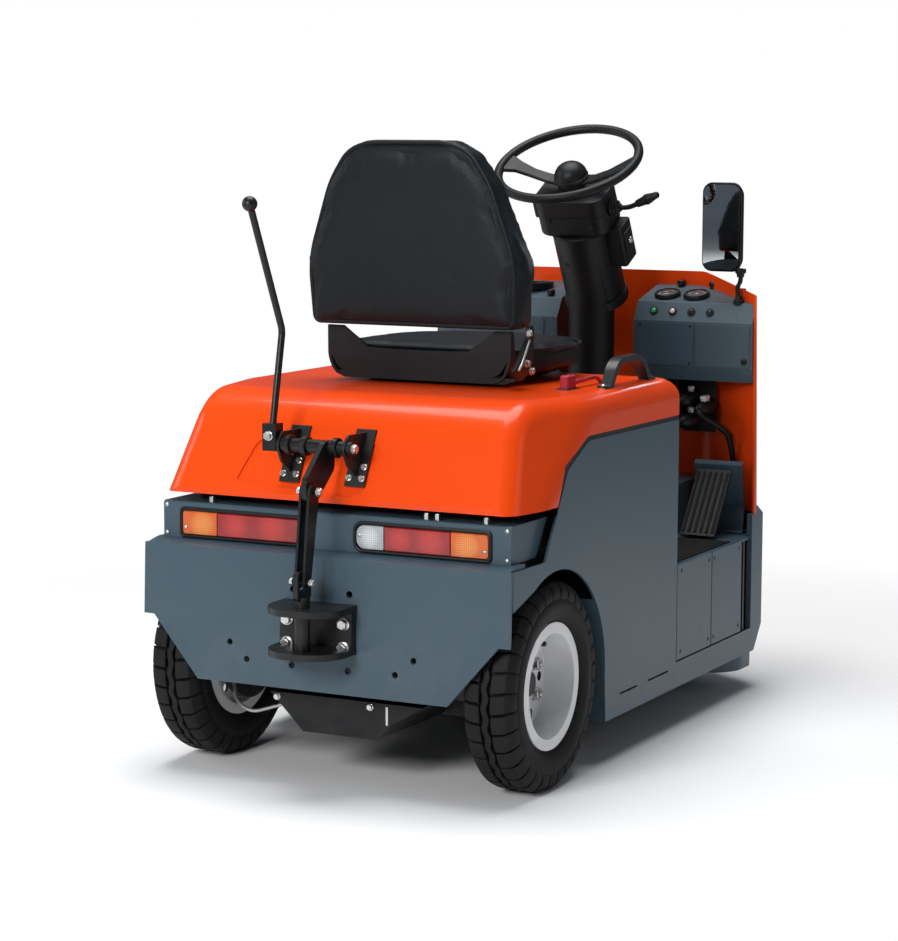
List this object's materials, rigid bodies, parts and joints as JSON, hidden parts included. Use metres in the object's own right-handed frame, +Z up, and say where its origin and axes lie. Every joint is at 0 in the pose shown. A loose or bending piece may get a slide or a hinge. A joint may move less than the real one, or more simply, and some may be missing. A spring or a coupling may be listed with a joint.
{
  "type": "airport baggage tug",
  "caption": "Small seated electric tow tractor on three wheels, with a driver's seat, a steering column behind an upright cowl and a drop-pin hitch.",
  "frame": {"origin": "centre of the bounding box on the ground", "axes": "+Z up; the tug drives towards -Y, so its hitch is at +Y; its right side is at -X"},
  "size_m": [0.766, 1.48, 1.2168],
  "materials": {
    "body_paint": "semi-gloss blue-grey paint with road dust",
    "orange_paint": "semi-gloss orange paint, faded on top",
    "black_paint": "satin black paint",
    "battery_case": "dull dark case",
    "hitch_steel": "worn dark cast steel",
    "bright_steel": "worn bare steel",
    "chrome_bar": "bright plated bar",
    "black_plastic": "matt black moulding",
    "grey_plastic": "matt dark grey moulding",
    "vinyl": "dark vinyl with a fine grain",
    "white_rim": "gloss off-white paint",
    "hub_steel": "dull dark hub with bright nuts",
    "tyre_rubber": "dusty black rubber",
    "red_lens": "clear red lens",
    "amber_lens": "clear amber lens",
    "clear_lens": "clear ribbed lens"
  },
  "bodies": {
    "chassis": {"chassis_frame": "black_paint", "rear_plate": "body_paint", "tail_section": "body_paint", "lens_red": "red_lens", "lens_amber": "amber_lens", "lens_clear": "clear_lens", "hood": "orange_paint", "side_panel_left": "body_paint", "side_panel_right": "body_paint", "seam_trims": "black_plastic", "step_panels": "body_paint", "floor_plate": "body_paint", "bulkhead": "body_paint", "front_wheelhouse": "body_paint", "front_cowl": "orange_paint", "front_valance": "body_paint", "front_guard": "body_paint", "headlamps": "clear_lens", "dash_right": "grey_plastic", "dash_left": "grey_plastic", "dash_dials": "grey_plastic", "column_cover": "black_plastic", "column_shroud": "black_plastic", "steering_gear": "black_paint", "direction_lever": "black_plastic", "pedals": "black_paint", "seat_base": "black_paint", "seat_cushion": "vinyl", "seat_back": "vinyl", "grab_handle": "chrome_bar", "mirror_head": "black_plastic", "battery_block": "battery_case", "drive_axle": "black_paint", "drive_cover": "black_plastic", "hitch_bracket": "hitch_steel", "lever_brackets": "black_paint"},
    "rear_wheel_left": {"rear_tyre_left": "tyre_rubber", "rear_rim_left": "white_rim", "rear_hub_left": "hub_steel"},
    "rear_wheel_right": {"rear_tyre_right": "tyre_rubber", "rear_rim_right": "white_rim", "rear_hub_right": "hub_steel"},
    "fork": {"front_fork": "black_paint"},
    "front_wheel": {"front_tyre": "tyre_rubber", "front_rim": "white_rim", "front_hub": "hub_steel"},
    "wheel_column": {"steering_wheel": "black_plastic"},
    "lever": {"release_lever": "hitch_steel"},
    "link": {"hitch_link": "hitch_steel"},
    "drop_pin": {"hitch_pin": "bright_steel"}
  },
  "joints": [
    {"name": "rear_left_spin", "type": "hinge", "parent": "chassis", "child": "rear_wheel_left", "pos_m": [0.331, 0.431, 0.195], "axis": [1, 0, 0], "continuous": true},
    {"name": "rear_right_spin", "type": "hinge", "parent": "chassis", "child": "rear_wheel_right", "pos_m": [-0.331, 0.431, 0.195], "axis": [1, 0, 0], "continuous": true},
    {"name": "steer", "type": "hinge", "parent": "chassis", "child": "fork", "pos_m": [0, -0.489, 0.45], "axis": [0, 0, 1], "range_deg": [-75, 75]},
    {"name": "front_spin", "type": "hinge", "parent": "fork", "child": "front_wheel", "pos_m": [0, -0.489, 0.195], "axis": [1, 0, 0], "continuous": true},
    {"name": "steering_wheel_turn", "type": "hinge", "parent": "chassis", "child": "wheel_column", "pos_m": [0, -0.431, 1.134], "axis": [0, 0.4756, 0.8796], "range_deg": [-600, 600]},
    {"name": "lever_pull", "type": "hinge", "parent": "chassis", "child": "lever", "pos_m": [0.117, 0.601, 0.632], "axis": [1, 0, 0], "range_deg": [0, 45]},
    {"name": "link_swing", "type": "hinge", "parent": "lever", "child": "link", "pos_m": [0, 0.667, 0.559], "axis": [1, 0, 0], "range_deg": [-60, 0]},
    {"name": "pin_lift", "type": "slide", "parent": "chassis", "child": "drop_pin", "axis": [0, 0, 1], "range_m": [0, 0.07]}
  ],
  "couplings": [
    {"joint": "steering_wheel_turn", "follows": "steer", "ratio": 8},
    {"joint": "link_swing", "follows": "lever_pull", "ratio": -1.2527},
    {"joint": "pin_lift", "follows": "lever_pull", "m_per_rad": 0.0834}
  ]
}
